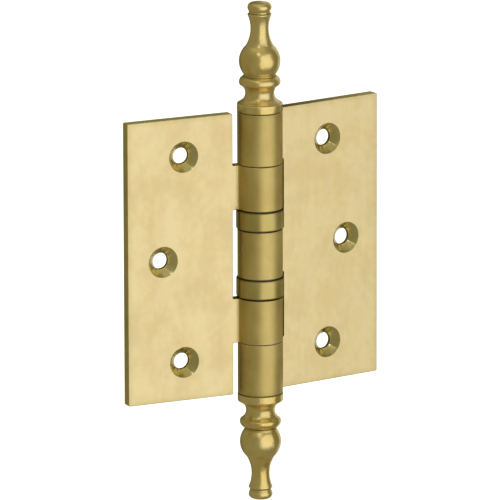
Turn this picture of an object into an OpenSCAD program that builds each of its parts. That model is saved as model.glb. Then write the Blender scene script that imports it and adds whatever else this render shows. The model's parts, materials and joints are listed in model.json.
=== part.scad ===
// Five-knuckle ball-bearing butt hinge in solid brass, with finials on both ends of the pin.
// The Z axis is the pin's axis and the origin is halfway up the barrel. The frame leaf lies
// along +X with its countersunk face towards -Y, and the door leaf is swung open.

/* [Leaves] */
// Height of each leaf, which is also the length of the barrel
leaf_h = 88.9; // [86:0.1:100]
// Width of each leaf, from the pin's axis to its outer edge
leaf_w = 44.45; // [40:0.05:55]
// Thickness of each leaf
leaf_t = 3.4; // [2.5:0.1:4]
// Distance from the pin's axis back to the countersunk face
face_y = 0.15; // [0.1:0.05:0.8]
// Distance from the pin's axis to the edge of each notch that clears the other leaf's knuckles
notch_x = 9.1; // [8.4:0.1:10]
// Angle between the leaves, measured over the countersunk faces (0 is closed)
opening = 190; // [0:1:270]

/* [Barrel] */
// Radius of the knuckles
barrel_r = 7; // [6.5:0.1:7.5]
// Length of the frame leaf's two end knuckles
end_knuckle_h = 16.2; // [15:0.05:17]
// Length of the frame leaf's middle knuckle
mid_knuckle_h = 15; // [12:0.5:16]
// Length of each of the door leaf's knuckles
door_knuckle_h = 14; // [10:0.05:14.1]
// Endwise play of the door leaf, whose weight takes it up
end_play = 0.1; // [0.05:0.05:0.2]
// Chamfer on the edges of the turned parts
edge_break = 0.15; // [0.05:0.05:0.3]
// Radius of the fillet between a knuckle and the countersunk face
front_fillet_r = 0.6; // [0.3:0.1:1]
// Radius of the fillet between a knuckle and the back face
back_fillet_r = 1; // [0.5:0.1:1.5]

/* [Screw holes] */
// Distance from the pin's axis to the two outer holes
outer_hole_x = 25.6; // [22:0.1:30]
// Distance from the pin's axis to the middle hole
mid_hole_x = 32.6; // [28:0.1:36]
// Distance between the outer holes
hole_spacing = 64.8; // [60:0.1:70]
// Radius of the holes, which take a number 10 or 5 mm wood screw
hole_r = 2.5; // [2.2:0.05:2.8]
// Radius of the 90 degree countersinks at the face
sink_r = 4.85; // [4.5:0.05:5]

/* [Pin] */
// Radius of the pin
pin_r = 3.5; // [3:0.1:3.8]
// Running clearance between the pin and the knuckles
pin_clearance = 0.05; // [0.02:0.01:0.1]
// Outer radius of the threaded studs that hold the finials
stud_r = 2.45; // [2:0.05:2.5]
// Length of each stud
stud_l = 15; // [12:0.5:16]

/* [Bearings] */
// Height of each bearing
bearing_h = 6.5; // [6.5:0.1:7]
// Outer radius of the brass shell around each bearing
shell_r = 7.4; // [7.2:0.1:7.8]
// Wall of the shell
shell_wall = 0.7; // [0.5:0.1:0.8]
// How far the shell stops short of the knuckles at each end
shell_gap = 0.25; // [0.1:0.05:0.3]
// Number of balls
ball_count = 12; // [6:1:12]
// Radius of each ball
ball_r = 1; // [0.9:0.05:1]
// Radius of the circle on which the balls run
ball_track_r = 5.15; // [5.1:0.05:5.2]
// Depth of the ball groove in each race
groove_depth = 0.3; // [0.2:0.05:0.4]
// Thickness of the ball cage
cage_h = 0.8; // [0.6:0.1:0.9]

/* [Finials] */
// Radius of the collar that seats on the barrel
collar_r = 7.05; // [6.8:0.05:7.3]
// Height of the collar
collar_h = 2.75; // [2.4:0.05:2.8]
// Radius of the throat above the collar
throat_r = 4.46; // [4.2:0.02:4.8]
// Height of the throat above the finial's base
throat_z = 5.8; // [5.7:0.1:5.9]
// Arc radius of the hollow around the throat
throat_arc_r = 2.94; // [2.8:0.02:3]
// Radius of the bead above the throat
bead_r = 6.42; // [6.2:0.02:6.6]
// Height of the bead above the finial's base
bead_z = 9.3; // [9.2:0.1:9.4]
// Arc radius of the bead
bead_arc_r = 1.85; // [1.8:0.05:1.9]
// Radius of the groove between the bead and the ball
bead_groove_r = 5; // [4.8:0.1:5.1]
// Radius of the ball
knob_r = 6.4; // [6.2:0.1:6.6]
// Height of the ball's centre above the finial's base
knob_z = 15.8; // [15.6:0.1:16]
// Radius of the slender neck above the ball
neck_r = 2.8; // [2.6:0.1:3.2]
// Height of the slimmest point of the neck above the finial's base
neck_z = 26; // [25.8:0.1:26.2]
// Arc radius of the long hollow of the neck
neck_arc_r = 10.5; // [10:0.1:11]
// Radius of the flange above the neck
flange_r = 3.8; // [3.7:0.05:3.9]
// Height of the flange above the finial's base
flange_z = 30.6; // [30.5:0.1:30.7]
// Radius of the groove between the flange and the button
button_groove_r = 3.3; // [3.1:0.1:3.4]
// Radius of the button at the tip
button_r = 3.75; // [3.6:0.05:3.9]
// Height of the button's rim above the finial's base
button_z = 32.6; // [32.5:0.1:32.7]
// Arc radius of the button's rim
button_arc_r = 1.5; // [1.4:0.05:1.5]
// Arc radius of the button's domed top
dome_arc_r = 14; // [10:1:20]

/* [Hidden] */
$fn = 96;
// A hair more than nothing, so that a cutter runs past the face that it cuts
eps = 0.01;

// Levels along the barrel, from its middle
top_z = leaf_h / 2;
mid_top_z = mid_knuckle_h / 2;
bearing_top_z = mid_top_z + bearing_h;
frame_spans = [
    [top_z - end_knuckle_h, top_z],
    [-mid_top_z, mid_top_z],
    [-top_z, end_knuckle_h - top_z],
];
door_spans = [
    [bearing_top_z, bearing_top_z + door_knuckle_h],
    [-bearing_top_z - end_play - door_knuckle_h, -bearing_top_z - end_play],
];
door_mid_z = -end_play / 2;

// Leaf section: the back face, and the centre of each fillet's arc, which bites a little into
// the knuckle so that the two curves cross; the fillet's foot lies inside the knuckle
back_y = face_y + leaf_t;
fillet_bite = 0.005;
fillet_foot_r = 0.95 * barrel_r;
front_fillet = fillet_centre(face_y - front_fillet_r, front_fillet_r);
back_fillet = fillet_centre(back_y + back_fillet_r, back_fillet_r);
sink_depth = sink_r - hole_r;

// Pin and studs
bore_r = pin_r + pin_clearance;
pin_recess = 0.1;
pin_top_z = top_z - pin_recess;
tap_clearance = 0.05;
tap_r = stud_r + tap_clearance;
pin_tap_depth = 9;
finial_tap_depth = 8;
stud_play = 0.5;
stud_z = pin_top_z - pin_tap_depth + stud_play;
tip_slope = 0.6;

// Bearing
race_gap = 2 * (ball_r - groove_depth);
race_h = (bearing_h - race_gap) / 2;
race_bore_r = bore_r + 0.1;
shell_bore_r = shell_r - shell_wall;
free_race_r = shell_bore_r - 0.08;
groove_clearance = 0.05;
ball_z = mid_top_z + bearing_h / 2;
cage_inner_r = race_bore_r + 0.1;
cage_outer_r = shell_bore_r - 0.15;
pocket_r = ball_r + 0.08;

// Finial
bead_foot_r = 6.09;
bead_foot_z = throat_z + sqrt(pow(throat_arc_r, 2) - pow(throat_r + throat_arc_r - bead_foot_r, 2));
shoulder_r = 4.5;
rim_x = button_r - button_arc_r;
dome_z = button_z - sqrt(pow(dome_arc_r - button_arc_r, 2) - pow(rim_x, 2));
dome_x = rim_x * dome_arc_r / (dome_arc_r - button_arc_r);

brass = [0.83, 0.72, 0.47];
polished_brass = [0.74, 0.61, 0.33];
steel = [0.62, 0.63, 0.65];
bronze = [0.66, 0.50, 0.28];

// A round bar from z0 to z1 with both of its ends chamfered
module broken_bar(r, z0, z1, chamfer) {
    translate([0, 0, z0]) cylinder(r1 = r - chamfer, r2 = r, h = chamfer);
    translate([0, 0, z0 + chamfer]) cylinder(r = r, h = z1 - z0 - 2 * chamfer);
    translate([0, 0, z1 - chamfer]) cylinder(r1 = r, r2 = r - chamfer, h = chamfer);
}

// A drilled hole from z up, with the drill's conical end
module blind_hole(r, z, depth) {
    translate([0, 0, z - eps]) cylinder(r = r, h = depth + eps);
    translate([0, 0, z + depth]) cylinder(r1 = r, r2 = 0, h = r * tip_slope);
}

// Centre of an arc of radius r, at height y, that runs into the outside of the knuckle
function fillet_centre(y, r) = [sqrt(pow(barrel_r + r - fillet_bite, 2) - y * y), y];

// Fillet between the knuckle and the leaf's face at height y
module fillet(centre, y, r) {
    difference() {
        polygon([[0, y], centre * fillet_foot_r / norm(centre), centre, [centre[0], y]]);
        translate(centre) circle(r = r);
    }
}

// Section of a knuckle and of the strap that joins it to its leaf
module knuckle_section() {
    circle(r = barrel_r);
    translate([0, face_y]) square([notch_x, leaf_t]);
    fillet(front_fillet, face_y, front_fillet_r);
    fillet(back_fillet, back_y, back_fillet_r);
}

// A screw hole through the leaf, countersunk from its front face
module screw_hole(x, z) {
    translate([x, face_y, z]) rotate([-90, 0, 0]) {
        translate([0, 0, -eps]) cylinder(r1 = sink_r + eps, r2 = hole_r, h = sink_depth + eps);
        cylinder(r = hole_r, h = leaf_t + eps);
    }
}

// A leaf along +X whose panel is centred at mid_z, with a knuckle on each span [low, high]
module leaf(spans, mid_z) {
    difference() {
        union() {
            translate([notch_x, face_y, mid_z - leaf_h / 2])
                cube([leaf_w - notch_x, leaf_t, leaf_h]);
            for (span = spans) translate([0, 0, span[0]])
                linear_extrude(span[1] - span[0]) knuckle_section();
        }
        translate([0, 0, -leaf_h]) cylinder(r = bore_r, h = 2 * leaf_h);
        for (side = [-1, 1]) screw_hole(outer_hole_x, mid_z + side * hole_spacing / 2);
        screw_hole(mid_hole_x, mid_z);
    }
}

module frame_leaf() {
    color(brass) leaf(frame_spans, 0);
}

// The door leaf mirrors the frame leaf when the hinge lies flat, at an opening of 180 degrees
module door_leaf() {
    color(brass) rotate([0, 0, 180 - opening]) mirror([1, 0, 0]) leaf(door_spans, door_mid_z);
}

// Steel pin, drilled and tapped at both ends
module hinge_pin() {
    color(steel) difference() {
        broken_bar(pin_r, -pin_top_z, pin_top_z, edge_break);
        for (flip = [0, 1]) mirror([0, 0, flip]) blind_hole(tap_r, -pin_top_z, pin_tap_depth);
    }
}

// Stud that joins the finial to the top of the pin, without its thread
module finial_stud() {
    color(steel) broken_bar(stud_r, stud_z, stud_z + stud_l, edge_break);
}

// Half of the finial's section, standing on its collar at z = 0
module finial_profile() {
    polygon([
        [0, 0],
        [collar_r - edge_break, 0],
        [collar_r, edge_break],
        [collar_r, collar_h - edge_break],
        [collar_r - edge_break, collar_h],
        [0, collar_h],
    ]);
    // The hollow between the collar and the bead
    difference() {
        translate([0, collar_h]) square([bead_r, bead_foot_z - collar_h]);
        translate([throat_r + throat_arc_r, throat_z]) circle(r = throat_arc_r);
    }
    intersection() {
        translate([bead_r - bead_arc_r, bead_z]) circle(r = bead_arc_r);
        translate([0, bead_foot_z]) square([bead_r, knob_z]);
    }
    translate([0, bead_foot_z]) square([bead_groove_r, knob_z - bead_foot_z]);
    intersection() {
        translate([0, knob_z]) circle(r = knob_r);
        translate([0, knob_z - knob_r]) square([knob_r, 2 * knob_r]);
    }
    // The long hollow of the neck, from the ball's shoulder to the flange
    difference() {
        union() {
            translate([0, knob_z]) square([shoulder_r, neck_z - knob_z]);
            translate([0, neck_z]) square([flange_r, flange_z - neck_z]);
        }
        translate([neck_r + neck_arc_r, neck_z]) circle(r = neck_arc_r);
    }
    translate([0, flange_z]) square([button_groove_r, button_z - flange_z]);
    // The button: a rounded rim and a domed top that runs smoothly into it
    translate([rim_x, button_z]) circle(r = button_arc_r);
    intersection() {
        translate([0, dome_z]) circle(r = dome_arc_r);
        translate([0, button_z]) square([dome_x, dome_arc_r]);
    }
}

// Turned finial on top of the barrel, drilled and tapped from below
module finial() {
    color(polished_brass) translate([0, 0, top_z]) difference() {
        rotate_extrude() finial_profile();
        blind_hole(tap_r, 0, finial_tap_depth);
    }
}

// Plain brass ring that covers the balls of the upper bearing
module bearing_shell() {
    low = mid_top_z + shell_gap;
    color(brass) difference() {
        broken_bar(shell_r, low, bearing_top_z - shell_gap, edge_break);
        translate([0, 0, mid_top_z]) cylinder(r = shell_bore_r, h = bearing_h);
    }
}

// Grooved steel race of the upper bearing; side is -1 under the balls and 1 above them
module bearing_race(side, outer_r) {
    low = side < 0 ? mid_top_z : bearing_top_z - race_h;
    color(steel) difference() {
        translate([0, 0, low]) cylinder(r = outer_r, h = race_h);
        translate([0, 0, mid_top_z - eps]) cylinder(r = race_bore_r, h = bearing_h + 2 * eps);
        translate([0, 0, ball_z]) rotate_extrude()
            translate([ball_track_r, 0]) circle(r = ball_r + groove_clearance);
    }
}

// Repeats its children at each ball of the upper bearing
module at_each_ball() {
    for (i = [0 : ball_count - 1]) rotate([0, 0, i * 360 / ball_count])
        translate([ball_track_r, 0, ball_z]) children();
}

// Flat ring with a pocket for each ball
module bearing_cage() {
    color(bronze) difference() {
        translate([0, 0, ball_z - cage_h / 2]) cylinder(r = cage_outer_r, h = cage_h);
        translate([0, 0, ball_z - cage_h]) cylinder(r = cage_inner_r, h = 2 * cage_h);
        at_each_ball() translate([0, 0, -cage_h]) cylinder(r = pocket_r, h = 2 * cage_h);
    }
}

module bearing_balls() {
    color(steel) at_each_ball() sphere(r = ball_r);
}

// Turns a part of the upper half of the barrel over, to its place in the lower half
module lower() {
    mirror([0, 0, 1]) children();
}

frame_leaf();
door_leaf();
hinge_pin();
finial();  // upper_finial
lower() finial();  // lower_finial
finial_stud();  // upper_finial_stud
lower() finial_stud();  // lower_finial_stud
bearing_shell();  // upper_bearing_shell
bearing_race(-1, shell_bore_r);  // upper_bearing_frame_race
bearing_race(1, free_race_r);  // upper_bearing_door_race
bearing_cage();  // upper_bearing_cage
bearing_balls();  // upper_bearing_balls
lower() bearing_shell();  // lower_bearing_shell
lower() bearing_race(-1, shell_bore_r);  // lower_bearing_frame_race
lower() bearing_race(1, free_race_r);  // lower_bearing_door_race
lower() bearing_cage();  // lower_bearing_cage
lower() bearing_balls();  // lower_bearing_balls
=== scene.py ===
import json
import math

import bmesh
import bpy
from mathutils import Matrix, Vector


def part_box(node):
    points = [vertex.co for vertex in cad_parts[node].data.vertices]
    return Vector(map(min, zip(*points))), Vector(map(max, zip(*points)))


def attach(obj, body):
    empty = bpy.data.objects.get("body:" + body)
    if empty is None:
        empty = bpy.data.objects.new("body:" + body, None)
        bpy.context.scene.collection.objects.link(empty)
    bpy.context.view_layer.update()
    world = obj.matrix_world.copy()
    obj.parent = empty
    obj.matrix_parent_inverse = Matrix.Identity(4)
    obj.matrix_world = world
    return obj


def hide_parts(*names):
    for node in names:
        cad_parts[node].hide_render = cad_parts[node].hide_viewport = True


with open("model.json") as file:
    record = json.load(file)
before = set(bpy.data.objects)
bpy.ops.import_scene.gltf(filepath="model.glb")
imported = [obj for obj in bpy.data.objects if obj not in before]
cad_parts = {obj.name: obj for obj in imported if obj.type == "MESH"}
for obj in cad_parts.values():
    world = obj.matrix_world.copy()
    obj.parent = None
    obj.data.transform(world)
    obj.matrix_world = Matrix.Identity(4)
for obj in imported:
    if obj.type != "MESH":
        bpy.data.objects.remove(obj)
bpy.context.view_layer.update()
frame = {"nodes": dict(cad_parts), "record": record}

# ---------------------------------------------------------------- sizes, in millimetres
# Meshes are built in millimetres and scaled to metres at the end.
MM = 0.001
MOUNTS = {m["name"]: m for m in frame["record"]["mounts"]}


def box_mm(node):
    """The lowest and the highest corner of a CAD node, in millimetres."""
    low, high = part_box(node)
    return low / MM, high / MM


def mount_mm(name):
    """The place of a mount, in millimetres."""
    return Vector(MOUNTS[name]["pos_m"]) / MM


# Leaves: from the frame leaf's box and its mounts
LEAF_W = box_mm("frame_leaf")[1].x
LEAF_TOP = box_mm("frame_leaf")[1].z
BACK_Y = mount_mm("frame_leaf_back").y
FACE_Y = 0.15
NOTCH_X = 9.1
JOIN_X = 8.3
LEAF_BEVEL = 0.22
CORNER_R = 0.45
DOOR_DROP = -mount_mm("door_leaf_outer_screws").z
DOOR_TURN = math.atan2(-MOUNTS["door_leaf_back"]["axis"][0], MOUNTS["door_leaf_back"]["axis"][1])

# Barrel, with the lowest and the highest point of each leaf's knuckles, from the top down
BARREL_R = 7.0
BORE_R = 3.55
FRAME_SPANS = [(28.25, LEAF_TOP), (-7.5, 7.5), (-LEAF_TOP, -28.25)]
DOOR_SPANS = [(14.0, 28.0), (-28.1, -14.1)]
FRONT_FILLET_R = 0.6
BACK_FILLET_R = 1.0
EDGE = 0.15
# Heights, up or down, between which two knuckles meet with no bearing
PLAIN_SEAM = (20.0, 40.0)

# Screw holes
SCREWS = MOUNTS["frame_leaf_outer_screws"]
HOLE_R = SCREWS["dims"]["hole_r_mm"]
HOLE_Z = SCREWS["dims"]["pcd_mm"] / 2
OUTER_HOLE_X = mount_mm("frame_leaf_outer_screws").x
MID_HOLE_X = 2 * mount_mm("frame_leaf_middle_and_upper_screws").x - OUTER_HOLE_X
SINK_R = 4.85
FLATS = 12
FLAT_DEPTH = 0.1
FLAT_FADE = 0.3

# Pin, studs and finials
TAP_R = 2.5
TAP_DEPTH = 8.0
PIN_TAP = 9.0
TIP_SLOPE = 0.6
STUD_ROOT_R = 2.1
STUD_PITCH = 0.8
# Half the width of the thread's crest and of its foot, in pitches
THREAD_CREST = 0.16
THREAD_FOOT = 0.36
# How far up from its base a finial gets oil and painted shade in its seam with the knuckle
FINIAL_SEAM_OIL_AND_SHADE = 0.3
# Passes that wear the finial's corners round
FINIAL_WEAR = 3

# Bearings
SHELL_WALL = 0.7
SHELL_BEVEL = 0.55
BALL_R = 1.0
BALL_COUNT = 12
BALL_TRACK_R = 5.15
GROOVE_CLEARANCE = 0.05
RACE_BORE_R = 3.65

# How much oil the hidden faces and edges have, from 0 to 1, and how much painted shade the notch walls,
# the hole bores, the knuckles' ends and the edges beside the bearings get; the notch walls and the bores
# get only painted shade
NOTCH_PAINTED_SHADE = 0.9
BORE_PAINTED_SHADOW = 0.9
RACE_DIRT = 0.7
PLAIN_SEAM_OIL_AND_SHADE = 0.3
BEARING_EDGE_OIL_AND_SHADE = 1.0

# Bends per millimetre at which an edge starts to be worn and a hollow starts to be grimy,
# and how much sharper the bend is where they are fully so
WEAR_FROM = 0.9
GRIME_FROM = 0.4
BEND_RANGE = 2.0

# How finely shapes are cut, and how near two points are when they become one
TINY = 1e-6
MERGE = 1e-4
NEARLY_HALF = 0.49
BARREL_STEPS = 120
FILLET_STEPS = 8
ROUND_STEPS = 4
TURN_STEPS = 112
HOLE_STEPS = 96
HOLE_SIDE = 0.4
ARC_STEPS = 24
PROFILE_STEP = 0.2
STUD_STEPS = 40
THREAD_STEPS = 10

# The camera looks down at the barrel from the countersunk side
CAMERA_AZIMUTH = -34.724
CAMERA_ELEVATION = 13.584
CAMERA_ROLL = -0.149
CAMERA_DISTANCE = 2.5
CAMERA_PAN = -3.108
CAMERA_LIFT = 0.546
CAMERA_LENS = 584.14
SENSOR_WIDTH = 36.0
NEAREST, FURTHEST = 0.1, 100.0

# Light and stage
ROOM = 0.3
ROOM_TINT = (0.96, 0.93, 0.62, 1.0)
# Parts of the room that differ: right of the camera, elevation, full to, gone by, brightness
ROOM_PARTS = [
    (0, 90, 20, 50, 0.55),
    (180, 14, 22, 46, 0.15),
    (70, 4.5, 46, 62, 0.215),
    (-142, -16, 10, 24, 0.2),
]
FLOOR_DEPTH = 1.0
FLOOR_SIZE = 24.0
FLOOR_WHITE = 0.9


# ---------------------------------------------------------------- outlines
def arc(centre, radius, start, end, steps):
    """Points on an arc, both ends included; the angles are in radians."""
    angles = [start + (end - start) * i / steps for i in range(steps + 1)]
    return [(centre[0] + radius * math.cos(a), centre[1] + radius * math.sin(a)) for a in angles]


def quarter_round(radius):
    """For each point of a rounded edge: how far in from the side, how far from the end, how worn."""
    angles = [math.pi / 2 * i / ROUND_STEPS for i in range(ROUND_STEPS + 1)]
    return [(radius * (1 - math.sin(a)), radius * (1 - math.cos(a)), math.sin(2 * a)) for a in angles]


def soften(points, size):
    """A polyline with its corners rounded over size along both sides, or over nearly half of a side."""
    made = [Vector(points[0])]
    for before, corner, after in zip(points, points[1:], points[2:]):
        corner = Vector(corner)
        back = Vector(before) - corner
        ahead = Vector(after) - corner
        start = corner + back.normalized() * min(size, back.length * NEARLY_HALF)
        end = corner + ahead.normalized() * min(size, ahead.length * NEARLY_HALF)
        for i in range(ROUND_STEPS + 1):
            t = i / ROUND_STEPS
            made.append(start * (1 - t) ** 2 + corner * 2 * t * (1 - t) + end * t * t)
    made.append(Vector(points[-1]))
    return made


def resample(points, step):
    """The same polyline with points about one step apart, and its ends kept."""
    points = [Vector(p) for p in points]
    lengths = [(b - a).length for a, b in zip(points, points[1:])]
    count = max(2, round(sum(lengths) / step))
    made = []
    at, piece = 0.0, 0
    for i in range(count + 1):
        want = sum(lengths) * i / count
        while piece < len(lengths) - 1 and at + lengths[piece] < want:
            at += lengths[piece]
            piece += 1
        share = min(1.0, (want - at) / max(lengths[piece], TINY))
        made.append(points[piece].lerp(points[piece + 1], share))
    return made


def divided(points, step):
    """The same polyline with its long sides cut into parts of about one step, and no point twice."""
    made = [points[0]]
    for a, b in zip(points, points[1:]):
        if (b - a).length > TINY:
            count = max(1, round((b - a).length / step))
            made += [a.lerp(b, (i + 1) / count) for i in range(count)]
    return made


def relax(points, passes):
    """A polyline with its corners worn round; each pass averages every point with its neighbours."""
    for _ in range(passes):
        inner = [(a + 2 * b + c) / 4 for a, b, c in zip(points, points[1:], points[2:])]
        points = [points[0], *inner, points[-1]]
    return points


def bends(points):
    """How sharply a polyline turns at each point, per millimetre; left turns are positive."""
    made = [0.0]
    for a, b, c in zip(points, points[1:], points[2:]):
        back, ahead = b - a, c - b
        length = (back.length + ahead.length) / 2
        made.append(0.0 if length < TINY else -back.angle_signed(ahead, 0.0) / length)
    return [*made, 0.0]


# ---------------------------------------------------------------- meshes
class Shape:
    """A mesh in millimetres, made of rings of points.

    Each point says how worn it is, how much grimy oil and painted shade it has, and where it is on the
    piece before the piece is turned.
    """

    def __init__(self):
        self.bm = bmesh.new()
        self.wear = self.bm.verts.layers.float.new("wear")
        self.grime_and_shade = self.bm.verts.layers.float.new("grime_and_shade")
        self.own = self.bm.verts.layers.float_vector.new("own")

    def ring(self, points, wear=0.0, grime_and_shade=0.0):
        """New points that aren't joined yet, all with that wear and that amount of grimy oil and painted
        shade.
        """
        made = []
        for point in points:
            vert = self.bm.verts.new(point)
            vert[self.wear] = wear
            vert[self.grime_and_shade] = grime_and_shade
            made.append(vert)
        return made

    def skin(self, rings, closed, slot=0):
        """Joins each ring to the next; a ring of one point is a tip."""
        for low, high in zip(rings, rings[1:]):
            count = max(len(low), len(high))
            for i in range(count if closed else count - 1):
                j = (i + 1) % count
                below = [low[i % len(low)], low[j % len(low)]]
                above = [high[j % len(high)], high[i % len(high)]]
                corners = dict.fromkeys(below + above)
                self.bm.faces.new(list(corners)).material_index = slot

    def cap(self, loops, slot=0, grime_and_shade=0.0):
        """A flat face inside the first loop and outside the others."""
        edges = []
        for loop in loops:
            verts = self.ring(loop, grime_and_shade=grime_and_shade)
            edges += [self.bm.edges.new(pair) for pair in zip(verts, verts[1:] + verts[:1])]
        made = bmesh.ops.triangle_fill(self.bm, use_beauty=True, use_dissolve=False, edges=edges)
        for item in made["geom"]:
            if isinstance(item, bmesh.types.BMFace):
                item.material_index = slot

    def turned(self, profile, steps=TURN_STEPS, slot=0, dirt_and_shade=0.0, worn=0):
        """A surface of revolution round Z from points (radius, height).

        With worn, sharp edges are worn and hollows are grimy: it is 1 for a profile whose outside
        goes up, and -1 for one whose outside goes down.
        """
        turns = bends([Vector(p) for p in profile]) if worn else [0.0] * len(profile)
        rings = []
        for (radius, z), turn in zip(profile, turns):
            wear = min(1.0, max(0.0, (turn * worn - WEAR_FROM) / BEND_RANGE))
            grime_and_shade = min(1.0, max(dirt_and_shade, (-turn * worn - GRIME_FROM) / BEND_RANGE))
            points = [(0, 0, z)] if radius < TINY else circle(radius, z, steps)
            rings.append(self.ring(points, wear, grime_and_shade))
        self.skin(rings, True, slot)

    def piece(self, name, body, nodes, slot, materials, turn=0.0, mirrored=False):
        """Closes the mesh, scales it to metres and makes it the piece that stands for the CAD nodes.

        A mirrored piece is mirrored in X, and then it is turned round Z.
        """
        bmesh.ops.remove_doubles(self.bm, verts=self.bm.verts, dist=MERGE)
        bmesh.ops.scale(self.bm, verts=self.bm.verts, vec=(-MM if mirrored else MM, MM, MM))
        for vert in self.bm.verts:
            vert[self.own] = vert.co
        bmesh.ops.transform(self.bm, matrix=Matrix.Rotation(turn, 4, "Z"), verts=self.bm.verts)
        bmesh.ops.recalc_face_normals(self.bm, faces=self.bm.faces)
        mesh = bpy.data.meshes.new(name)
        self.bm.to_mesh(mesh)
        self.bm.free()
        mesh.shade_smooth()
        for material in materials:
            mesh.materials.append(material)
        made = bpy.data.objects.new(name, mesh)
        bpy.context.scene.collection.objects.link(made)
        made.modifiers.new("flat faces stay flat", "WEIGHTED_NORMAL").keep_sharp = True
        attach(made, body)
        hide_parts(*nodes)
        return made


def circle(radius, z, steps):
    """Points round the Z axis at a height."""
    return [(x, y, z) for x, y in arc((0, 0), radius, 0, math.tau, steps)[:-1]]


# ---------------------------------------------------------------- leaves
def fillet_centre(y, radius):
    """Centre, with that y, of the arc between a knuckle and a face of the leaf."""
    return (math.sqrt((BARREL_R + radius) ** 2 - y * y), y)


def knuckle_section(inset):
    """Outline of a knuckle and its strap, moved in by inset.

    It goes from the front face round the barrel to the back.
    """
    front = fillet_centre(FACE_Y - FRONT_FILLET_R, FRONT_FILLET_R)
    back = fillet_centre(BACK_Y + BACK_FILLET_R, BACK_FILLET_R)
    front_angle = math.atan2(front[1], front[0])
    back_angle = math.atan2(back[1], back[0])
    return [
        (JOIN_X, FACE_Y + inset),
        *arc(front, FRONT_FILLET_R + inset, math.pi / 2, math.pi + front_angle, FILLET_STEPS),
        *arc((0, 0), BARREL_R - inset, front_angle, back_angle - math.tau, BARREL_STEPS)[1:],
        *arc(back, BACK_FILLET_R + inset, back_angle - math.pi, -math.pi / 2, FILLET_STEPS)[1:],
        (JOIN_X, BACK_Y - inset),
    ]


def chain_points(corners, inset):
    """A chain of square corners, moved in by inset towards its left, with each corner rounded."""
    corners = [Vector(c) for c in corners]
    sides = [(b - a).normalized() for a, b in zip(corners, corners[1:])]
    inward = [Vector((-s.y, s.x)) for s in sides]
    made = [corners[0] + inward[0] * inset]
    for corner, side, ahead, a, b in zip(corners[1:], sides, sides[1:], inward, inward[1:]):
        turn = 1 if side.cross(ahead) > 0 else -1
        centre = corner + (a + b) * turn * CORNER_R
        radius = CORNER_R - turn * inset
        for i in range(FILLET_STEPS + 1):
            angle = math.pi / 2 * i / FILLET_STEPS
            made.append(centre - (a * math.cos(angle) + b * math.sin(angle)) * turn * radius)
    made.append(corners[-1] + inward[-1] * inset)
    return made


def leaf_chains(spans, low, high):
    """The leaf's outline in X and Z, as chains that start and end where the straps begin.

    Past the first and the last knuckle, where they stop short of its corners, the leaf stops at
    the notch.
    """
    first, last = spans[-1][0], spans[0][1]
    outer = [(LEAF_W, low), (LEAF_W, high)]
    if first > low:
        outer = [(NOTCH_X, first), (NOTCH_X, low), *outer, (NOTCH_X, high), (NOTCH_X, last)]
    chains = [[(JOIN_X, first), *outer, (JOIN_X, last)]]
    for (top, _), (_, bottom) in zip(spans, spans[1:]):
        chains.append([(JOIN_X, top), (NOTCH_X, top), (NOTCH_X, bottom), (JOIN_X, bottom)])
    return chains


def screw_hole_rings(x, z):
    """(points, how much painted shadow) of a countersunk hole's rings, from the front face to the back.

    The cone has the shallow flats that the tool left, at other angles in each hole.
    """
    deep = FACE_Y + SINK_R - HOLE_R
    mouth = [(SINK_R + EDGE, FACE_Y), (SINK_R, FACE_Y)]
    bore = [(HOLE_R, deep), (HOLE_R, BACK_Y), (HOLE_R + EDGE, BACK_Y)]
    shift = round(x + z)
    rings = []
    for radius, y in divided(soften(mouth + bore, EDGE), HOLE_SIDE):
        from_end = min(y - FACE_Y, deep - y) - EDGE
        depth = FLAT_DEPTH * min(1.0, max(0.0, from_end / FLAT_FADE))
        points = []
        for i in range(HOLE_STEPS):
            angle = math.tau * i / HOLE_STEPS
            out = radius - depth * abs(math.sin(math.pi * FLATS * (i + shift) / HOLE_STEPS))
            points.append((x + out * math.cos(angle), y, z + out * math.sin(angle)))
        # The bore's wall below the cone is darkened with painted shadow
        rings.append((points, BORE_PAINTED_SHADOW if deep <= y < BACK_Y - EDGE / 4 else 0.0))
    return rings


def leaf_holes(middle):
    """The rings of a leaf's three screw holes, the middle one of them at the height middle."""
    holes = [screw_hole_rings(MID_HOLE_X, middle)]
    return holes + [screw_hole_rings(OUTER_HOLE_X, middle + side * HOLE_Z) for side in (-1, 1)]


def add_sides(shape, chains):
    """The leaf's narrow sides, with their rounded edges."""
    rim = quarter_round(LEAF_BEVEL)
    sides = [(inset, FACE_Y + along, worn) for inset, along, worn in rim]
    sides += [(inset, BACK_Y - along, worn) for inset, along, worn in reversed(rim)]
    for chain in chains:
        rings = []
        for inset, y, worn in sides:
            points = chain_points(chain, inset)
            rings.append(shape.ring([(p.x, y, p.y) for p in points], worn))
        shape.skin(rings, False)


def leaf_shape(spans, low, high):
    """A leaf along +X with its knuckles, rounded edges and screw holes, as one closed mesh."""
    shape = Shape()
    chains = leaf_chains(spans, low, high)
    add_sides(shape, chains)
    holes = leaf_holes((low + high) / 2)
    for rings in holes:
        shape.skin([shape.ring(points, 0.0, dirt_and_shade) for points, dirt_and_shade in rings], True, 1)
    outline = [p for chain in chains for p in chain_points(chain, LEAF_BEVEL)]
    for y, end in ((FACE_Y, 0), (BACK_Y, -1)):
        shape.cap([[(p.x, y, p.y) for p in outline], *[rings[end][0] for rings in holes]])
    for span in spans:
        add_knuckle(shape, *span)
    for vert in shape.bm.verts:
        # The walls of the notches beside the knuckles are painted with shade, which the barrel's edges
        # beside them reflect
        in_notch = JOIN_X - EDGE < vert.co.x <= NOTCH_X + CORNER_R
        if in_notch and FACE_Y + EDGE < vert.co.y < BACK_Y - EDGE:
            vert[shape.grime_and_shade] = NOTCH_PAINTED_SHADE
    return shape


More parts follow.
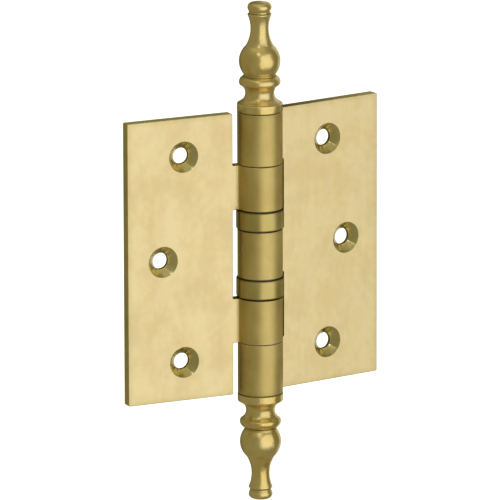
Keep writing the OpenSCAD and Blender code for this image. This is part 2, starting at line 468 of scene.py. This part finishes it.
def end_oil_and_shade(z):
    """How much oil and painted shade a knuckle's end gets: less where two knuckles meet with no bearing
    between them.
    """
    return PLAIN_SEAM_OIL_AND_SHADE if PLAIN_SEAM[0] < abs(z) < PLAIN_SEAM[1] else 1.0


def oil_and_shade_edge(from_end, width):
    """How much oil and painted shade a rounded edge of some width beside a bearing gets, at a distance
    from its end.
    """
    return BEARING_EDGE_OIL_AND_SHADE * max(0.0, 1 - from_end / width)


def add_knuckle(shape, low, high):
    """One knuckle from low to high with its strap, bore and rounded ends."""
    rim = quarter_round(LEAF_BEVEL)
    levels = [(inset, low + along, worn) for inset, along, worn in rim]
    levels += [(inset, high - along, worn) for inset, along, worn in reversed(rim)]
    rings = []
    for inset, z, worn in levels:
        end = low if z < (low + high) / 2 else high
        # A knuckle's ends get oil and painted shade for the seams; beside a bearing its rounded edges
        # get them too, in place of wear
        dirt_and_shade = end_oil_and_shade(z) if z == end else 0.0
        if z != end and abs(end) < PLAIN_SEAM[0]:
            worn = 0.0
            dirt_and_shade = oil_and_shade_edge(abs(z - end), LEAF_BEVEL)
        rings.append(shape.ring([(x, y, z) for x, y in knuckle_section(inset)], worn, dirt_and_shade))
    shape.skin(rings, False)
    bore = [(BORE_R + EDGE, low), (BORE_R, low + EDGE), (BORE_R, high - EDGE), (BORE_R + EDGE, high)]
    shape.turned(bore, BARREL_STEPS, 1, dirt_and_shade=1.0)
    for z in (low, high):
        end = [(x, y, z) for x, y in knuckle_section(LEAF_BEVEL)]
        shape.cap([end, circle(BORE_R + EDGE, z, BARREL_STEPS)], grime_and_shade=end_oil_and_shade(z))


# ---------------------------------------------------------------- turned parts
def reach(centre, radius, x, side):
    """Height at which an arc passes the radius x, on its upper (1) or lower (-1) side."""
    return centre[1] + side * math.sqrt(radius**2 - (x - centre[0]) ** 2)


def bulge(centre, radius, low, high):
    """Arc that swells outwards, from height low to height high."""
    ends = [math.asin(min(1.0, (z - centre[1]) / radius)) for z in (low, high)]
    return arc(centre, radius, *ends, ARC_STEPS)


def hollow(centre, radius, low, high):
    """Arc that sinks inwards, from height low to height high."""
    ends = [math.pi - math.asin((z - centre[1]) / radius) for z in (low, high)]
    return arc(centre, radius, *ends, ARC_STEPS)


def finial_outline():
    """The finial from the edge of its stud hole to its tip: (radius, height above its base)."""
    collar_r, collar_h = 7.05, 2.75
    bead_r, groove_r, shoulder_r = 6.42, 5.0, 4.5
    flange_r, flange_z, button_groove_r = 3.8, 30.6, 3.3
    throat, throat_arc = (7.4, 5.8), 2.94
    bead, bead_arc = (4.57, 9.3), 1.85
    knob, knob_r = (0.0, 15.8), 6.4
    neck, neck_arc = (13.3, 26.0), 10.5
    rim, rim_arc = (2.25, 32.6), 1.5
    dome_arc = 14.0
    foot_z = reach(throat, throat_arc, 6.09, 1)
    shoulder_z = reach(knob, knob_r, shoulder_r, 1)
    tilt = math.acos(rim[0] / (dome_arc - rim_arc))
    dome = (0.0, rim[1] - (dome_arc - rim_arc) * math.sin(tilt))
    rim_top = rim[1] + rim_arc * math.sin(tilt)
    return [
        (TAP_R, 0.0),
        (collar_r, 0.0),
        (collar_r, collar_h),
        (bead_r, collar_h),
        *hollow(throat, throat_arc, reach(throat, throat_arc, bead_r, -1), foot_z),
        *bulge(bead, bead_arc, foot_z, reach(bead, bead_arc, groove_r, 1)),
        *bulge(knob, knob_r, reach(knob, knob_r, groove_r, -1), shoulder_z),
        *hollow(neck, neck_arc, shoulder_z, reach(neck, neck_arc, flange_r, 1)),
        (flange_r, flange_z),
        (button_groove_r, flange_z),
        *bulge(rim, rim_arc, reach(rim, rim_arc, button_groove_r, -1), rim_top),
        *bulge(dome, dome_arc, rim_top, dome[1] + dome_arc),
    ]


def finial_shape(base, side):
    """A finial on its base plane, upwards or downwards, with the plain hole for its stud."""
    outline = relax(resample(finial_outline(), PROFILE_STEP), FINIAL_WEAR)
    tap = [Vector((0.0, TAP_DEPTH + TAP_R * TIP_SLOPE)), Vector((TAP_R, TAP_DEPTH))]
    shape = Shape()
    shape.turned([(p.x, base + side * p.y) for p in tap + outline], worn=side)
    # In the seam with the knuckle, the base ring gets oil and painted shade, and no wear
    for vert in shape.bm.verts:
        if abs(vert.co.z - base) < FINIAL_SEAM_OIL_AND_SHADE:
            vert[shape.wear] = 0.0
            vert[shape.grime_and_shade] = 1.0
    return shape


def shell_shape(low, high, radius):
    """The brass ring round a bearing: a closed section, whose inner side is split, turned round Z."""
    inner = radius - SHELL_WALL
    start = (inner, (low + high) / 2)
    section = [start, (inner, low), (radius, low), (radius, high), (inner, high), start]
    shape = Shape()
    shape.turned(soften(section, SHELL_BEVEL))
    # Inside, the shell is covered in oil; its outer rounded edges get oil and painted shade towards its
    # ends
    for vert in shape.bm.verts:
        from_end = min(vert.co.z - low, high - vert.co.z)
        inside = vert.co.xy.length < (inner + radius) / 2
        vert[shape.grime_and_shade] = 1.0 if inside else oil_and_shade_edge(from_end, SHELL_BEVEL)
    return shape


def race_shape(low, high, bore, radius, ball_z):
    """A steel race between two heights, with the ball groove on the side towards ball_z."""
    near, far = (high, low) if ball_z > high else (low, high)
    middle = (bore, (near + far) / 2)
    groove_r = BALL_R + GROOVE_CLEARANCE
    half = math.acos(abs(ball_z - near) / groove_r) * (1 if near > far else -1)
    bottom = math.copysign(math.pi / 2, far - near)
    groove = arc((BALL_TRACK_R, ball_z), groove_r, bottom + half, bottom - half, ARC_STEPS)
    outer = [middle, (bore, far), (radius, far), (radius, near), groove[0]]
    inner = [groove[-1], (bore, near), middle]
    shape = Shape()
    shape.turned([*soften(outer, EDGE), *groove[1:-1], *soften(inner, EDGE)], dirt_and_shade=RACE_DIRT)
    return shape


def pin_shape(top, radius):
    """The pin, with a plain hole for a stud in each end."""
    hole_z = top - PIN_TAP
    half = [(0.0, hole_z - TAP_R * TIP_SLOPE), (TAP_R, hole_z), (TAP_R, top), (radius, top)]
    shape = Shape()
    # The pin is covered in oil; the oil's brown also stands in for the brass-brown shade seen through
    # the seams between knuckles
    shape.turned(soften([(r, -z) for r, z in half] + half[::-1], EDGE), dirt_and_shade=1.0)
    return shape


def stud_shape(low, high, crest):
    """A threaded stud; the thread runs out at both of its ends."""
    count = round((high - low) / STUD_PITCH * THREAD_STEPS)
    shape = Shape()
    rings = [shape.ring([(0, 0, low)])]
    for i in range(count + 1):
        z = low + (high - low) * i / count
        end = min(z - low, high - z)
        points = []
        for j in range(STUD_STEPS):
            from_crest = abs((z / STUD_PITCH - j / STUD_STEPS) % 1.0 - 0.5)
            height = (THREAD_FOOT - from_crest) / (THREAD_FOOT - THREAD_CREST)
            radius = STUD_ROOT_R + (crest - STUD_ROOT_R) * min(1.0, max(0.0, height))
            radius = min(radius, crest - STUD_PITCH / 2 + end)
            angle = math.tau * j / STUD_STEPS
            points.append((radius * math.cos(angle), radius * math.sin(angle), z))
        rings.append(shape.ring(points))
    rings.append(shape.ring([(0, 0, high)]))
    shape.skin(rings, True)
    return shape


def balls_shape(z):
    """The balls of one bearing, evenly round their track."""
    shape = Shape()
    for i in range(BALL_COUNT):
        angle = math.tau * i / BALL_COUNT
        place = Matrix.Translation((BALL_TRACK_R * math.cos(angle), BALL_TRACK_R * math.sin(angle), z))
        bmesh.ops.create_icosphere(shape.bm, subdivisions=4, radius=BALL_R, matrix=place)
    return shape


# ---------------------------------------------------------------- materials
def srgb(red, green, blue):
    """A colour from 0-255 display values."""
    shares = [c / 255 for c in (red, green, blue)]
    return (*[s / 12.92 if s <= 0.04045 else ((s + 0.055) / 1.055) ** 2.4 for s in shares], 1.0)


def add(tree, kind, inputs=None, **settings):
    """Adds a shader node, with its settings, and its inputs as values or as sockets to join."""
    made = tree.nodes.new("ShaderNode" + kind)
    for name, value in settings.items():
        setattr(made, name, value)
    for name, value in (inputs or {}).items():
        if isinstance(value, bpy.types.NodeSocket):
            tree.links.new(value, made.inputs[name])
        else:
            made.inputs[name].default_value = value
    return made


def noise(tree, place, stretch, detail=3.0, roughness=0.55):
    """Noise from 0 to 1 with stretch features a metre along X, Y and Z."""
    spread = add(tree, "Mapping", {"Vector": place, "Scale": stretch})
    return add(tree, "TexNoise", {
        "Vector": spread.outputs["Vector"], "Scale": 1.0, "Detail": detail, "Roughness": roughness,
    }).outputs["Fac"]


def remap(tree, value, from_low, from_high, to_low, to_high):
    """value moved from one range to another, smoothly and no further."""
    return add(tree, "MapRange", {
        "Value": value, "From Min": from_low, "From Max": from_high, "To Min": to_low, "To Max": to_high,
    }, interpolation_type="SMOOTHSTEP").outputs["Result"]


def maths(tree, operation, a, b):
    """One sum on two numbers or sockets."""
    return add(tree, "Math", {0: a, 1: b}, operation=operation).outputs["Value"]


def mix(tree, factor, a, b, blend="MIX"):
    """A mix of two colours."""
    return add(tree, "Mix", {0: factor, 6: a, 7: b}, data_type="RGBA", blend_type=blend).outputs[2]


def separated(tree, vector, axis):
    """One of the three numbers of a vector."""
    return add(tree, "SeparateXYZ", {"Vector": vector}).outputs[axis]


def bump(tree, height, distance, normal=None):
    """Bump of that height in metres, on top of another bump."""
    inputs = {"Height": height, "Distance": distance, "Strength": 1.0}
    if normal is not None:
        inputs["Normal"] = normal
    return add(tree, "Bump", inputs).outputs["Normal"]


def weighted(tree, *terms):
    """The sum of some values, each times its weight."""
    total = None
    for value, weight in terms:
        part = maths(tree, "MULTIPLY", value, weight)
        total = part if total is None else maths(tree, "ADD", total, part)
    return total


# Features a metre along X, Y and Z, and how much each counts in the colour and in the roughness
CLOUDS = (90, 90, 70)
PATCHES = (420, 420, 300)
STAINS = (150, 150, 110)
CLOUD_TONE, PATCH_TONE, LINE_TONE = 0.74, 0.22, 0.04
CLOUD_GLOSS, LINE_GLOSS = 0.65, 0.35
# Noise between which a metal goes from dark to light, from smooth to rough, from little scuffed
# to much, and a leaf from clean to stained
TONE_SPREAD = (0.36, 0.64)
GLOSS_SPREAD = (0.3, 0.7)
SCUFF_SPREAD = (0.35, 0.6)
STAIN_SPREAD = (0.42, 0.62)
# How squarely a surface faces Y where it starts to count as a leaf's flat face, and where it does
FLAT_SPREAD = (0.5, 0.9)
# How much of a worn edge is scuffed, and what oil and painted shade do to the colour and the roughness
LEAST_SCUFF, MOST_SCUFF = 0.3, 0.9
OIL_AND_SHADE_COVER = 0.85
OIL_DULLER = 0.2
# On a leaf: what the stains, the outer rim and the barrel's painted shade do to the colour, and the
# rim's place
STAIN_TINT = (1.0, 0.98, 0.88, 1.0)
MOST_STAIN = 0.55
RIM_TINT = (0.86, 0.88, 0.78, 1.0)
MOST_RIM = 0.7
RIM_FROM, RIM_TO = 0.0425, 0.0444
BARREL_SHADE_TINT = (0.97, 0.94, 0.68, 1.0)
BARREL_DULLER = 0.27


def leaf_look(tree, place, normal, colour, roughness):
    """Stains and a darker rim on a leaf, and a duller barrel painted with a yellower, shaded copy of the
    leaf's colour; the flat faces stay pale.
    """
    flat = add(tree, "VectorMath", {0: place, 1: (1.0, 1.0, 0.0)}, operation="MULTIPLY").outputs[0]
    away = add(tree, "VectorMath", {0: flat}, operation="LENGTH").outputs["Value"]
    height = maths(tree, "ABSOLUTE", separated(tree, place, "Z"), 0.0)
    facing = maths(tree, "ABSOLUTE", separated(tree, normal, "Y"), 0.0)
    plate = remap(tree, away, BARREL_R * MM, (BARREL_R + FRONT_FILLET_R * 2) * MM, 0.0, 1.0)
    plate = maths(tree, "MULTIPLY", plate, remap(tree, facing, *FLAT_SPREAD, 0.0, 1.0))
    rim = remap(tree, maths(tree, "MAXIMUM", away, height), RIM_FROM, RIM_TO, 0.0, 1.0)
    stain = remap(tree, noise(tree, place, STAINS), *STAIN_SPREAD, 0.0, MOST_STAIN)
    colour = mix(tree, stain, colour, STAIN_TINT, "MULTIPLY")
    colour = mix(tree, maths(tree, "MULTIPLY", rim, MOST_RIM), colour, RIM_TINT, "MULTIPLY")
    # Painted shade: the barrel gets a yellower, darker copy of the leaf's colour, standing in for its
    # interreflected look
    colour = mix(tree, plate, mix(tree, 1.0, colour, BARREL_SHADE_TINT, "MULTIPLY"), colour)
    duller = remap(tree, plate, 0.0, 1.0, BARREL_DULLER, 0.0)
    return colour, maths(tree, "ADD", roughness, duller)


def aged(tree, patch, colours, colour, roughness):
    """Scuffs on the edges that are marked as worn, and oil and painted shade where the mesh is marked
    with them.
    """
    wear = add(tree, "Attribute", attribute_name="wear").outputs["Fac"]
    grime_and_shade = add(tree, "Attribute", attribute_name="grime_and_shade").outputs["Fac"]
    patchy = remap(tree, patch, *SCUFF_SPREAD, LEAST_SCUFF, MOST_SCUFF)
    scuff = maths(tree, "MULTIPLY", wear, patchy)
    colour = mix(tree, scuff, colour, colours["worn"])
    colour = mix(tree, maths(tree, "MULTIPLY", grime_and_shade, OIL_AND_SHADE_COVER), colour, colours["oil_and_shade"])
    return colour, maths(tree, "ADD", roughness, maths(tree, "MULTIPLY", grime_and_shade, OIL_DULLER))


def metal(name, colours, rough, lines, line_depth, waves, wave_depth, leaf=False, cad=False):
    """A metal with cloudy colour, fine tool lines, gentle waviness, worn edges, hollows dark with oil,
    and painted shade where the mesh is marked for it.

    lines and waves are features a metre along X, Y and Z; rough is the lowest and highest
    roughness. A CAD part has no marks on its mesh, so its noise goes by its own coordinates.
    """
    made = bpy.data.materials.new(name)
    made.use_nodes = True
    tree = made.node_tree
    shader = tree.nodes["Principled BSDF"]
    shader.inputs["Metallic"].default_value = 1.0
    coordinates = add(tree, "TexCoord")
    own = add(tree, "Attribute", attribute_name="own").outputs["Vector"]
    place = coordinates.outputs["Object"] if cad else own
    cloud = noise(tree, place, CLOUDS, detail=4.0)
    patch = noise(tree, place, PATCHES)
    line = noise(tree, place, lines, detail=2.0, roughness=0.6)
    tone = weighted(tree, (cloud, CLOUD_TONE), (patch, PATCH_TONE), (line, LINE_TONE))
    lightness = remap(tree, tone, *TONE_SPREAD, 0.0, 1.0)
    colour = mix(tree, lightness, colours["dark"], colours["light"])
    gloss = weighted(tree, (line, LINE_GLOSS), (cloud, CLOUD_GLOSS))
    roughness = remap(tree, gloss, *GLOSS_SPREAD, *rough)
    if leaf:
        colour, roughness = leaf_look(tree, place, coordinates.outputs["Normal"], colour, roughness)
    colour, roughness = aged(tree, patch, colours, colour, roughness)
    tree.links.new(colour, shader.inputs["Base Color"])
    tree.links.new(roughness, shader.inputs["Roughness"])
    wavy = bump(tree, noise(tree, place, waves, detail=2.0), wave_depth)
    tree.links.new(bump(tree, line, line_depth, wavy), shader.inputs["Normal"])
    return made


def shades(dark, light, worn, oil_and_shade):
    """The four colours of a metal, from display values."""
    return {"dark": srgb(*dark), "light": srgb(*light), "worn": srgb(*worn), "oil_and_shade": srgb(*oil_and_shade)}


SATIN_BRASS = metal(
    "satin brass", shades((219, 198, 149), (233, 214, 166), (240, 226, 180), (38, 28, 6)),
    rough=(0.17, 0.25), lines=(1500, 1500, 40), line_depth=5e-7, waves=(60, 60, 50), wave_depth=5e-5,
    leaf=True)
MACHINED_BRASS = metal(
    "machined brass", shades((212, 196, 136), (229, 214, 160), (240, 226, 180), (38, 28, 6)),
    rough=(0.2, 0.3), lines=(60, 5000, 60), line_depth=1.2e-5, waves=(300, 300, 300), wave_depth=2e-5)
RING_BRASS = metal(
    "turned brass", shades((203, 183, 113), (217, 198, 133), (235, 220, 150), (38, 28, 6)),
    rough=(0.3, 0.4), lines=(40, 40, 4200), line_depth=1e-6, waves=(120, 120, 120), wave_depth=2e-5)
POLISHED_BRASS = metal(
    "polished brass", shades((231, 203, 125), (241, 219, 157), (250, 240, 192), (124, 106, 44)),
    rough=(0.25, 0.36), lines=(60, 60, 2600), line_depth=1.5e-6, waves=(300, 300, 240), wave_depth=2e-4)
GROUND_STEEL = metal(
    "ground steel", shades((150, 152, 156), (188, 190, 194), (225, 226, 228), (46, 36, 20)),
    rough=(0.22, 0.34), lines=(60, 60, 5200), line_depth=2e-6, waves=(200, 200, 200), wave_depth=8e-6)
BEARING_STEEL = metal(
    "bearing steel", shades((140, 142, 147), (172, 174, 180), (225, 226, 228), (34, 26, 12)),
    rough=(0.12, 0.2), lines=(80, 80, 5200), line_depth=1e-6, waves=(260, 260, 260), wave_depth=4e-6)
CAGE_BRONZE = metal(
    "oiled bronze", shades((150, 112, 62), (182, 140, 84), (214, 176, 118), (70, 48, 24)),
    rough=(0.3, 0.42), lines=(900, 900, 900), line_depth=3e-6, waves=(300, 300, 300), wave_depth=1e-5,
    cad=True)


# ---------------------------------------------------------------- the hinge
def make_leaves():
    faces = [SATIN_BRASS, MACHINED_BRASS]
    leaf_shape(FRAME_SPANS, -LEAF_TOP, LEAF_TOP).piece(
        "frame_leaf_finish", "frame", ["frame_leaf"], "satin_brass", faces)
    leaf_shape(DOOR_SPANS, -LEAF_TOP - DOOR_DROP, LEAF_TOP - DOOR_DROP).piece(
        "door_leaf_finish", "door", ["door_leaf"], "satin_brass", faces,
        turn=DOOR_TURN, mirrored=True)


def make_pin():
    top = box_mm("hinge_pin")[1]
    pin_shape(top.z, top.x).piece(
        "hinge_pin_finish", "frame", ["hinge_pin"], "pin_steel", [GROUND_STEEL])


def make_finial(half, side):
    """A finial and its stud; side is 1 for the upper half and -1 for the lower."""
    finial_shape(side * LEAF_TOP, side).piece(
        f"{half}_finial_finish", "frame", [f"{half}_finial"], "polished_brass", [POLISHED_BRASS])
    low, high = box_mm(f"{half}_finial_stud")
    stud_shape(low.z, high.z, high.x).piece(
        f"{half}_finial_stud_finish", "frame", [f"{half}_finial_stud"], "pin_steel", [GROUND_STEEL])


def make_bearing(half):
    """A bearing's shell, balls and races; its cage stays as CAD made it, with a better material."""
    low, high = box_mm(f"{half}_bearing_shell")
    shell_shape(low.z, high.z, high.x).piece(
        f"{half}_bearing_shell_finish", "frame", [f"{half}_bearing_shell"], "ring_brass",
        [RING_BRASS])
    low, high = box_mm(f"{half}_bearing_balls")
    ball_z = (low.z + high.z) / 2
    balls_shape(ball_z).piece(
        f"{half}_bearing_balls_finish", f"{half}_ball_set", [f"{half}_bearing_balls"],
        "bearing_steel", [BEARING_STEEL])
    for race, body in (("frame_race", "frame"), ("door_race", "door")):
        low, high = box_mm(f"{half}_bearing_{race}")
        race_shape(low.z, high.z, RACE_BORE_R, high.x, ball_z).piece(
            f"{half}_bearing_{race}_finish", body, [f"{half}_bearing_{race}"],
            "bearing_steel", [BEARING_STEEL])
    frame["nodes"][f"{half}_bearing_cage"].data.materials[0] = CAGE_BRONZE


make_leaves()
make_pin()
for half, side in (("upper", 1), ("lower", -1)):
    make_finial(half, side)
    make_bearing(half)


# ---------------------------------------------------------------- camera, floor and light
def seen_from_camera(right, elevation):
    """Direction from the hinge, right of the camera by right degrees and at that elevation."""
    turn = math.radians(CAMERA_AZIMUTH + right)
    tilt = math.radians(elevation)
    return Vector((math.sin(turn) * math.cos(tilt), -math.cos(turn) * math.cos(tilt), math.sin(tilt)))


def aim(item, place, target, roll=0.0):
    """Puts a camera or light at a place and points it at a target."""
    turn = (target - place).to_track_quat("-Z", "Y").to_matrix().to_4x4()
    item.matrix_world = Matrix.Translation(place) @ turn @ Matrix.Rotation(math.radians(roll), 4, "Z")


def softbox(name, right, elevation, distance, width, height, power):
    """A rectangular soft light that faces the hinge."""
    light = bpy.data.lights.new(name, "AREA")
    light.shape = "RECTANGLE"
    light.size = width
    light.size_y = height
    light.energy = power
    made = bpy.data.objects.new(name, light)
    bpy.context.scene.collection.objects.link(made)
    made.visible_camera = False
    aim(made, seen_from_camera(right, elevation) * distance, Vector((0, 0, 0)))


def place_camera():
    """Stands the camera off, looking at a point a little beside the hinge's origin."""
    camera = bpy.data.objects.new("camera", bpy.data.cameras.new("camera"))
    scene.collection.objects.link(camera)
    camera.data.lens = CAMERA_LENS
    camera.data.sensor_width = SENSOR_WIDTH
    camera.data.clip_start = NEAREST
    camera.data.clip_end = FURTHEST
    back = seen_from_camera(0, CAMERA_ELEVATION)
    right = Vector((-back.y, back.x, 0)).normalized()
    up = back.cross(right)
    target = right * CAMERA_PAN * MM + up * CAMERA_LIFT * MM
    aim(camera, target + back * CAMERA_DISTANCE, target, CAMERA_ROLL)
    scene.camera = camera


def pale_floor():
    """A wide pale floor well below the hinge, bright enough to look white, and clear from below."""
    mesh = bpy.data.meshes.new("floor")
    half = FLOOR_SIZE / 2
    corners = [(-half, -half, 0), (half, -half, 0), (half, half, 0), (-half, half, 0)]
    mesh.from_pydata(corners, [], [(0, 1, 2, 3)])
    paint = bpy.data.materials.new("pale floor")
    paint.use_nodes = True
    tree = paint.node_tree
    shader = tree.nodes["Principled BSDF"]
    shader.inputs["Base Color"].default_value = (FLOOR_WHITE, FLOOR_WHITE, FLOOR_WHITE, 1.0)
    shader.inputs["Emission Color"].default_value = (1.0, 1.0, 1.0, 1.0)
    shader.inputs["Emission Strength"].default_value = 1.0
    below = add(tree, "NewGeometry").outputs["Backfacing"]
    clear = add(tree, "BsdfTransparent").outputs["BSDF"]
    both = add(tree, "MixShader", {0: below, 1: shader.outputs["BSDF"], 2: clear}).outputs["Shader"]
    tree.links.new(both, tree.nodes["Material Output"].inputs["Surface"])
    mesh.materials.append(paint)
    made = bpy.data.objects.new("floor", mesh)
    made.location.z = -FLOOR_DEPTH
    made.visible_glossy = False
    made.visible_diffuse = False
    scene.collection.objects.link(made)


def studio_air():
    """The room: white to the camera, and to the brass a dim grey with darker and lighter parts."""
    world = bpy.data.worlds.new("studio")
    scene.world = world
    world.use_nodes = True
    tree = world.node_tree
    place = add(tree, "TexCoord").outputs["Generated"]
    strength = ROOM
    for right, elevation, full, gone, level in ROOM_PARTS:
        towards = seen_from_camera(right, elevation)
        along = add(tree, "VectorMath", {0: place, 1: towards}, operation="DOT_PRODUCT").outputs["Value"]
        edges = [math.cos(math.radians(angle)) for angle in (gone, full)]
        share = remap(tree, along, *edges, 0.0, 1.0)
        strength = add(tree, "Mix", {0: share, 2: strength, 3: level}).outputs[0]
    camera_ray = add(tree, "LightPath").outputs["Is Camera Ray"]
    strength = add(tree, "Mix", {0: camera_ray, 2: strength, 3: 1.0}).outputs[0]
    tree.links.new(strength, tree.nodes["Background"].inputs["Strength"])
    colour = mix(tree, camera_ray, ROOM_TINT, (1.0, 1.0, 1.0, 1.0))
    tree.links.new(colour, tree.nodes["Background"].inputs["Color"])


scene = bpy.context.scene
scene.view_settings.view_transform = "Standard"
place_camera()
softbox("key softbox", right=40.5, elevation=4.5, distance=1.2, width=1.81, height=1.71, power=8.15)
softbox("back softbox", right=155, elevation=0, distance=1.4, width=1.3, height=1.8, power=3.4)
softbox("small lamp", right=-8.5, elevation=47, distance=1.2, width=0.09, height=0.09, power=0.35)
pale_floor()
studio_air()
